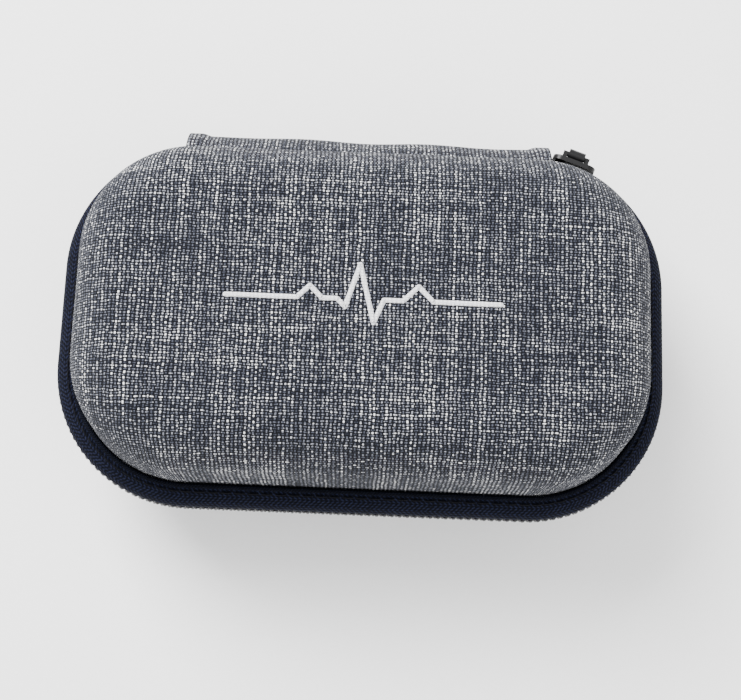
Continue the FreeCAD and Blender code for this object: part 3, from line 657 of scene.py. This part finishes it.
class CASE_OT_linings(bpy.types.Operator):
    """Brushed linings, and the tape bound over each inner rim"""

    bl_idname = "oximeter_case.linings"
    bl_label = "Linings and bindings"

    def execute(self, context):
        inset = 3.3
        deep = -(inset + 0.6)
        tape = [(0, 0.6), (0, 5.1), (-0.25, 5.2), (-0.5, 5.1), (-0.55, 2.5), (-0.55, 0.9), (-0.3, 0.6)]
        section = [(deep + out - up * WALL, up) for out, up in tape[::-1]]
        length = Track(ZIP_REACH).length
        for half, body, side in HALVES:
            lining = dome(f"{half}_knit_lining", side, body, inset, 0.7, 0.0, finish_of("lining"), 0.5)
            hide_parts(f"{half}_lining")
            binding = swept(
                f"{half}_bound_rim", section, side, 0, length, body, finish_of("binding"), closed=True
            )
            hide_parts(f"{half}_edge_binding")
        return {"FINISHED"}


class CASE_OT_print(bpy.types.Operator):
    """Printed pulse trace that follows the crown of the lid"""

    bl_idname = "oximeter_case.print"
    bl_label = "Printed trace"

    def execute(self, context):
        low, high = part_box("printed_mark")
        stroke, parts = 0.45, []
        half = (high.x - low.x) / 2 / MM - stroke
        beat = [(-1, 0), (-0.48, 0), (-0.39, 0.09), (-0.3, 0), (-0.19, 0), (-0.13, -0.06), (-0.03, 0.26)]
        beat += [(0.08, -0.17), (0.15, 0), (0.29, 0), (0.4, 0.11), (0.51, 0), (1, 0)]
        corners = [Vector((x * half, y * half, 0)) for x, y in beat]
        for a, b in zip(corners, corners[1:]):
            steps = max(2, int((b - a).length / 0.6))
            across = (b - a).normalized().cross(Vector((0, 0, 1))) * stroke
            row = []
            for i in range(steps + 1):
                spot = a.lerp(b, i / steps)
                row += [spot - across, spot + across]
            parts.append(([tuple(p) for p in row], grid_faces(steps + 1, 2, flip=True)))
        # a round dot at each corner joins the strokes
        sides = 12
        turns = [i / sides * 2 * math.pi for i in range(sides)]
        for corner in corners:
            ring = [corner + Vector((math.cos(turn), math.sin(turn), 0)) * stroke for turn in turns]
            parts.append(([tuple(p) for p in ring], [tuple(range(sides))]))
        flat, faces = merged(parts)
        rise = 2 * PARTING + 0.05
        points = [(x, y, rise + crown_height(x, y, size_mm("crown"))) for x, y, _ in flat]
        uvs = [(x, y) for x, y, _ in flat]
        trace = mesh_piece("pulse_trace", points, faces, "lid", finish_of("ink"), uvs)
        modifier(trace, "SOLIDIFY", thickness=0.06 * MM, offset=0.0)
        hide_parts("printed_mark")
        return {"FINISHED"}


# --- the zip ----------------------------------------------------------------------------------


def zip_run(side):
    """Where a half's zip starts and ends along its track."""
    track = Track(ZIP_REACH)
    first = track.back_end(NOTCH_END if side > 0 else SPINE_END)
    return first, track.length - track.back_end(SPINE_END)


class CASE_OT_zip_tapes(bpy.types.Operator):
    """Twill zip tapes, the rolled cord at their sewn edges, and the lockstitch that holds them"""

    bl_idname = "oximeter_case.zip_tapes"
    bl_label = "Zip tapes"

    def execute(self, context):
        for half, body, side in HALVES:
            first, last = zip_run(side)
            # up the outside from the teeth to the sewn edge, and back down the inside
            section = [
                (3.95, 1.2), (4.0, 2.2), (3.85, 3.0), (3.3, 3.75), (2.3, 4.5), (1.2, 5.05), (0.45, 5.3),
                (-0.25, 5.35), (-0.3, 4.6), (0.5, 4.4), (1.6, 3.8), (2.7, 3.0), (3.3, 2.4), (3.35, 1.2),
            ]
            tape = swept(f"{half}_twill_tape", section, side, first, last, body, finish_of("tape"))
            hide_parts(f"{half}_zip_tape")
            turns = np.linspace(0, 2 * math.pi, 11)[:-1]
            ring = [(0.2 + 0.5 * math.cos(turn), 5.2 + 0.5 * math.sin(turn)) for turn in turns]
            cord = swept(f"{half}_rolled_edge", ring, side, first, last, body, finish_of("binding"))
            self.sew(f"{half}_tape_stitches", body, side, first, last)
        return {"FINISHED"}

    def sew(self, name, body, side, first, last):
        """One row of lockstitch along the tape, near its sewn edge."""
        track, pitch, parts = Track(ZIP_REACH), size_mm("stitch_pitch"), []
        for i in range(int((last - first - 2) / pitch)):
            x, y, nx, ny = track.at(first + 1 + (i + 0.5) * pitch)
            inset, up = 2.35, 5.02
            spot = (x - nx * inset, y - ny * inset, PARTING + side * up)
            parts.append(stitch(spot, (ny, -nx, 0), pitch * 0.78, 0.17, (nx * 0.5, ny * 0.5, side)))
        points, faces = merged(parts)
        mesh_piece(name, points, faces, body, finish_of("thread"))


class CASE_OT_zip_teeth(bpy.types.Operator):
    """Two rows of coiled nylon, which pass between each other's turns

    The rows stand apart where the slider's web runs between them.
    """

    bl_idname = "oximeter_case.zip_teeth"
    bl_label = "Zip teeth"

    def execute(self, context):
        pitch, steps = size_mm("tooth_pitch"), 12
        slider_end = 78  # how far along the track the slider's web can reach
        for half, body, side in HALVES:
            track = Track(ZIP_REACH)
            first, last = zip_run(side)
            first, last = first + 0.5, last - 0.5
            path = []
            count = int((last - first) / pitch * steps)
            for i in range(count):
                s = first + (last - first) * i / count
                # turns of the two rows are counted from one place, half a pitch apart
                phase = 2 * math.pi * (s / pitch + (0.5 if side < 0 else 0.0))
                x, y, nx, ny = track.at(s)
                apart = min(1.0, max(0.0, (slider_end - s) / 3))
                out = 0.5 * math.cos(phase)
                up = 0.72 + 0.28 * apart + (0.78 - 0.28 * apart) * math.sin(phase)
                path.append((x + nx * out, y + ny * out, PARTING + side * up))
            points, faces = tube(path, 0.27, 6)
            coil = mesh_piece(f"{half}_coil_teeth", points, faces, body, finish_of("coil"))
            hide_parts(f"{half}_zip_teeth")
        return {"FINISHED"}


# --- the spine --------------------------------------------------------------------------------


class CASE_OT_spine(bpy.types.Operator):
    """The cloth strip that hinges the halves: one piece, doubled at both ends and sewn to each half"""

    bl_idname = "oximeter_case.spine"
    bl_label = "Spine"

    def execute(self, context):
        strip = self.strip()
        modifier(strip, "SOLIDIFY", thickness=0.8 * MM, offset=-1.0)
        bpy.context.view_layer.objects.active = strip
        strip.select_set(True)
        bpy.ops.object.modifier_apply(modifier="Solidify")
        strip.select_set(False)
        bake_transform(strip)
        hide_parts("spine_cover_lid_half", "spine_cover_base_half")
        for half, body, side in HALVES:
            self.sew(half, body, side)
        return {"FINISHED"}

    def strip(self):
        """The strip as a sheet that bulges over the zip's gap, thicker where its ends are hemmed."""
        rows, columns = 121, 33
        sewn, fold, outermost = 33.0, 38.2, 39.0  # how far back its edge, its fold and any fold reach
        half_height, half_flat = 9.4, 12.5
        rng = random.Random(5)
        waves = []
        for _ in range(4):
            waves.append((rng.uniform(0.04, 0.3), rng.uniform(0, 6.3), rng.uniform(0.05, 0.12)))
        points, uvs = [], []
        for i in range(rows):
            x = -SPINE_END + 2 * SPINE_END * i / (rows - 1)
            sway = sum(size * math.sin(rate * x + shift) for rate, shift, size in waves)
            near_end = max(0.0, 1 - (SPINE_END - abs(x)) / 4.0)
            hem = 0.55 * min(1.0, near_end * 3)
            for j in range(columns):
                t = -1 + 2 * j / (columns - 1)
                up = -half_height * t
                reach = sewn - abs(up) * WALL
                bulge = (fold - sewn) * (math.cos(math.pi / 2 * min(1.0, abs(t) ** 1.1))) ** 0.75
                y = reach + bulge + (hem + sway) * (1 - t**6)
                points.append((x, min(y, outermost), PARTING + up))
                uvs.append((x, t * half_flat))
        faces = grid_faces(rows, columns)
        return mesh_piece("cloth_spine", points, faces, None, finish_of("cloth"), uvs)

    def sew(self, half, body, side):
        """One row of lockstitch near a sewn edge."""
        pitch, parts = size_mm("stitch_pitch"), []
        back, up = 34.45, 8.0
        for i in range(int(2 * SPINE_END / pitch)):
            spot = (-SPINE_END + 1.2 + i * pitch, back, PARTING + side * up)
            parts.append(stitch(spot, (1, 0, 0), pitch * 0.78, 0.16, (0, 1, side * 0.4)))
        points, faces = merged(parts)
        row = mesh_piece(f"{half}_spine_stitches", points, faces, body, finish_of("thread"))


# --- the inside -------------------------------------------------------------------------------


class CASE_OT_foam(bpy.types.Operator):
    """Foam block with a nest for the oximeter, its cut edges softened"""

    bl_idname = "oximeter_case.foam"
    bl_label = "Foam nest"

    def execute(self, context):
        mesh = NODES["foam_nest"].data.copy()
        mesh.name = "cut_foam_block"
        foam = bpy.data.objects.new("cut_foam_block", mesh)
        context.scene.collection.objects.link(foam)
        mesh.materials.clear()
        mesh.materials.append(finish_of("foam"))
        modifier(foam, "REMESH", mode="VOXEL", voxel_size=0.8 * MM)
        modifier(foam, "SMOOTH", factor=0.5, iterations=4)
        context.view_layer.objects.active = foam
        for made in list(foam.modifiers):
            bpy.ops.object.modifier_apply(modifier=made.name)
        foam.data.polygons.foreach_set("use_smooth", [True] * len(foam.data.polygons))
        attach(foam, "case_base")
        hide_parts("foam_nest")
        return {"FINISHED"}


class CASE_OT_pocket(bpy.types.Operator):
    """Net pocket under the lid: knitted net, its sewn hem and the elastic along its mouth"""

    bl_idname = "oximeter_case.pocket"
    bl_label = "Net pocket"

    def execute(self, context):
        low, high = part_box("pocket_net")
        low, high = low / MM, high / MM
        middle_z = (low.z + high.z) / 2
        cell = size_mm("net_cell")
        nx, ny = int((high.x - low.x) / cell), int((high.y - low.y) / cell)
        graph = bmesh.new()
        spots = {}

        def spot(i, j):
            """A knot of the net; knots sit at the corners and the middles of its cells."""
            if (i, j) not in spots:
                x = low.x + (high.x - low.x) * i / (2 * nx)
                y = low.y + (high.y - low.y) * j / (2 * ny)
                sag = 0.12 * math.sin(math.pi * i / (2 * nx)) * math.sin(math.pi * j / (2 * ny))
                spots[i, j] = graph.verts.new((x * MM, y * MM, (middle_z - sag) * MM))
            return spots[i, j]

        for i in range(2 * nx):
            for j in range(2 * ny):
                if (i + j) % 2 == 1:
                    ring = [(i, j), (i + 1, j - 1), (i + 2, j), (i + 1, j + 1)]
                    if all(0 <= a <= 2 * nx and 0 <= b <= 2 * ny for a, b in ring):
                        graph.faces.new([spot(a, b) for a, b in ring])
        mesh = bpy.data.meshes.new("knitted_net")
        graph.to_mesh(mesh)
        graph.free()
        mesh.materials.append(finish_of("net"))
        net = bpy.data.objects.new("knitted_net", mesh)
        context.scene.collection.objects.link(net)
        modifier(net, "WIREFRAME", thickness=0.34 * MM, use_even_offset=False)
        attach(net, "lid")
        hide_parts("pocket_net")
        trims = [self.hem(), self.elastic()]
        return {"FINISHED"}

    def hem(self):
        """Folded tape round three sides of the net."""
        low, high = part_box("pocket_hem")
        low, high = low / MM, high / MM
        inner_x, inner_y = high.x - 1.45, high.y - 1.45
        path = [(-inner_x, low.y), (-inner_x, inner_y - 2)]
        bend = 2.0
        for turn in np.linspace(0.2, 1.57, 6):
            path.append((-inner_x + bend - bend * math.cos(turn), inner_y - bend + bend * math.sin(turn)))
        path += [(-x, y) for x, y in path[::-1]]
        points, uvs, s = [], [], 0.0
        section = [(-1.4, 0.15), (-1.2, 1.25), (0, 1.3), (1.2, 1.25), (1.4, 0.15), (1.2, 0.0), (-1.2, 0.0)]
        for i, (x, y) in enumerate(path):
            a, b = Vector(path[max(0, i - 1)]), Vector(path[min(len(path) - 1, i + 1)])
            way = (b - a).normalized()
            s += (Vector((x, y)) - a).length if i else 0
            for k, (across, up) in enumerate(section):
                points.append((x - way.y * across, y + way.x * across, low.z + up))
                uvs.append((s, k))
        sides = len(section)
        faces = grid_faces(len(path), sides, True)
        faces += [tuple(range(sides))[::-1], tuple(range(len(points) - sides, len(points)))]
        tape = mesh_piece("pocket_hem_tape", points, faces, "lid", finish_of("binding"), uvs)
        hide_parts("pocket_hem")
        return tape

    def elastic(self):
        """Ribbed elastic, gathered a little, along the pocket's mouth."""
        low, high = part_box("pocket_elastic")
        low, high = low / MM, high / MM
        columns, rows = 181, 7
        points, uvs = [], []
        middle_z = (low.z + high.z) / 2
        for i in range(rows):
            y = low.y + (high.y - low.y) * i / (rows - 1)
            for j in range(columns):
                x = low.x + (high.x - low.x) * j / (columns - 1)
                pucker = 0.18 * math.sin(x * 2.1) + 0.1 * math.sin(x * 0.9 + 1)
                points.append((x, y, middle_z + pucker))
                # gathered cloth holds 1.15 times its own length
                uvs.append((x * 1.15, i * 0.8))
        faces = grid_faces(rows, columns)
        band = mesh_piece("pocket_elastic_band", points, faces, "lid", finish_of("elastic"), uvs)
        modifier(band, "SOLIDIFY", thickness=0.6 * MM, offset=0.0)
        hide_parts("pocket_elastic")
        return band


class CASE_OT_spring(bpy.types.Operator):
    """Torsion spring of the jaw: one wire, wound round the pin, with a leg to each half"""

    bl_idname = "oximeter_case.spring"
    bl_label = "Torsion spring"

    def execute(self, context):
        low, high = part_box("hinge_pin")
        middle = (low + high) / 2 / MM
        radius, pitch, turns, wire, steps = 1.6, 0.8, 8, 0.22, 16
        leg_x = middle.x - radius
        start, end = middle.y - turns / 2 * pitch, middle.y + turns / 2 * pitch
        path = [(leg_x, start, middle.z - 2.5 + 0.5 * i) for i in range(5)]
        for i in range(turns * steps + 1):
            turn = 2 * math.pi * i / steps
            y = start + pitch * i / steps
            path.append((middle.x - radius * math.cos(turn), y, middle.z + radius * math.sin(turn)))
        path += [(leg_x, end, middle.z + 0.5 + i) for i in range(7)]
        curve = bpy.data.curves.new("jaw_spring", "CURVE")
        curve.dimensions, curve.bevel_depth, curve.bevel_resolution = "3D", wire * MM, 2
        spline = curve.splines.new("POLY")
        spline.points.add(len(path) - 1)
        for point, (x, y, z) in zip(spline.points, path):
            point.co = (x * MM, y * MM, z * MM, 1)
        curve.materials.append(finish_of("steel"))
        spring = bpy.data.objects.new("jaw_spring", curve)
        context.scene.collection.objects.link(spring)
        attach(spring, "case_base")
        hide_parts("torsion_spring")
        return {"FINISHED"}


class CASE_OT_finishes(bpy.types.Operator):
    """Finishes of the slider, the shells and the oximeter's own pieces"""

    bl_idname = "oximeter_case.finishes"
    bl_label = "Plastic and metal finishes"

    def execute(self, context):
        for name, finish in PAINT.items():
            mesh = NODES[name].data
            mesh.materials.clear()
            mesh.materials.append(finish_of(finish))
        return {"FINISHED"}


# --- the stage --------------------------------------------------------------------------------


class CASE_OT_stage(bpy.types.Operator):
    """Pale floor, soft lights and the camera"""

    bl_idname = "oximeter_case.stage"
    bl_label = "Stage"

    def execute(self, context):
        floor_material, tree, surface = new_material("Paper, matt white", Roughness=0.9)
        grain = noise(tree, place_mm(tree), 0.8, 3.0)
        white = ramp(tree, grain, [(0.2, "#FAFAFA"), (0.8, "#FDFDFD")])
        tree.links.new(white, surface.inputs["Base Color"])
        size, level = 3000, -0.05
        corners = [(x * size, y * size, level) for x, y in ((-1, -1), (1, -1), (1, 1), (-1, 1))]
        floor = mesh_piece("floor", corners, [(0, 1, 2, 3)], None, floor_material, smooth=False)
        world = bpy.data.worlds.new("Studio")
        world.use_nodes = True
        background = world.node_tree.nodes["Background"]
        background.inputs["Color"].default_value = (1, 1, 1, 1)
        background.inputs["Strength"].default_value = 1.5
        context.scene.world = world
        self.light("key", (-300, 360, 560), 380, 14.0)
        self.light("fill", (350, -420, 520), 600, 2.5)
        self.camera(context)
        return {"FINISHED"}

    def light(self, name, place, size, power):
        """A square softbox that faces the case."""
        lamp = bpy.data.lights.new(name, "AREA")
        lamp.size, lamp.energy = size * MM, power
        made = bpy.data.objects.new(name, lamp)
        made.location = Vector(place) * MM
        aim = Vector((0, 0, PARTING)) * MM - made.location
        made.rotation_euler = aim.to_track_quat("-Z", "Y").to_euler()
        bpy.context.scene.collection.objects.link(made)

    def camera(self, context):
        lens = bpy.data.cameras.new("camera")
        lens.sensor_width, lens.lens = 36.0, 63.85
        lens.shift_x, lens.shift_y = 0.0112, -0.0331
        lens.clip_start, lens.clip_end = 0.01, 10
        made = bpy.data.objects.new("camera", lens)
        tilt, roll = math.radians(78), math.radians(2.29)
        back = Vector((0, -math.cos(tilt), math.sin(tilt)))
        level, up = Vector((1, 0, 0)), Vector((0, math.sin(tilt), math.cos(tilt)))
        right = level * math.cos(roll) + up * math.sin(roll)
        top = up * math.cos(roll) - level * math.sin(roll)
        made.rotation_euler = Matrix((right, top, back)).transposed().to_euler()
        aim = Vector((0, 0, 30))
        made.location = (aim + back * size_mm("camera_distance")) * MM
        context.scene.collection.objects.link(made)
        context.scene.camera = made


class CASE_PT_panel(bpy.types.Panel):
    """Lists the case's pieces in the sidebar"""

    bl_label = "Oximeter Case"
    bl_space_type = "VIEW_3D"
    bl_region_type = "UI"
    bl_category = "Oximeter Case"

    def draw(self, context):
        column = self.layout.column()
        for name in CaseSizes.__annotations__:
            column.prop(context.scene.oximeter_case, name)
        for piece in PIECES:
            column.operator(piece.bl_idname)


PIECES = (
    CASE_OT_skins,
    CASE_OT_linings,
    CASE_OT_print,
    CASE_OT_zip_tapes,
    CASE_OT_zip_teeth,
    CASE_OT_spine,
    CASE_OT_foam,
    CASE_OT_pocket,
    CASE_OT_spring,
    CASE_OT_finishes,
    CASE_OT_stage,
)
CLASSES = (CaseSizes, *PIECES, CASE_PT_panel)


def register():
    for made in CLASSES:
        bpy.utils.register_class(made)
    bpy.types.Scene.oximeter_case = bpy.props.PointerProperty(type=CaseSizes)


def unregister():
    del bpy.types.Scene.oximeter_case
    for made in reversed(CLASSES):
        bpy.utils.unregister_class(made)


def main():
    register()
    for piece in PIECES:
        group, name = piece.bl_idname.split(".")
        getattr(getattr(bpy.ops, group), name)()


if __name__ == "__main__":
    main()
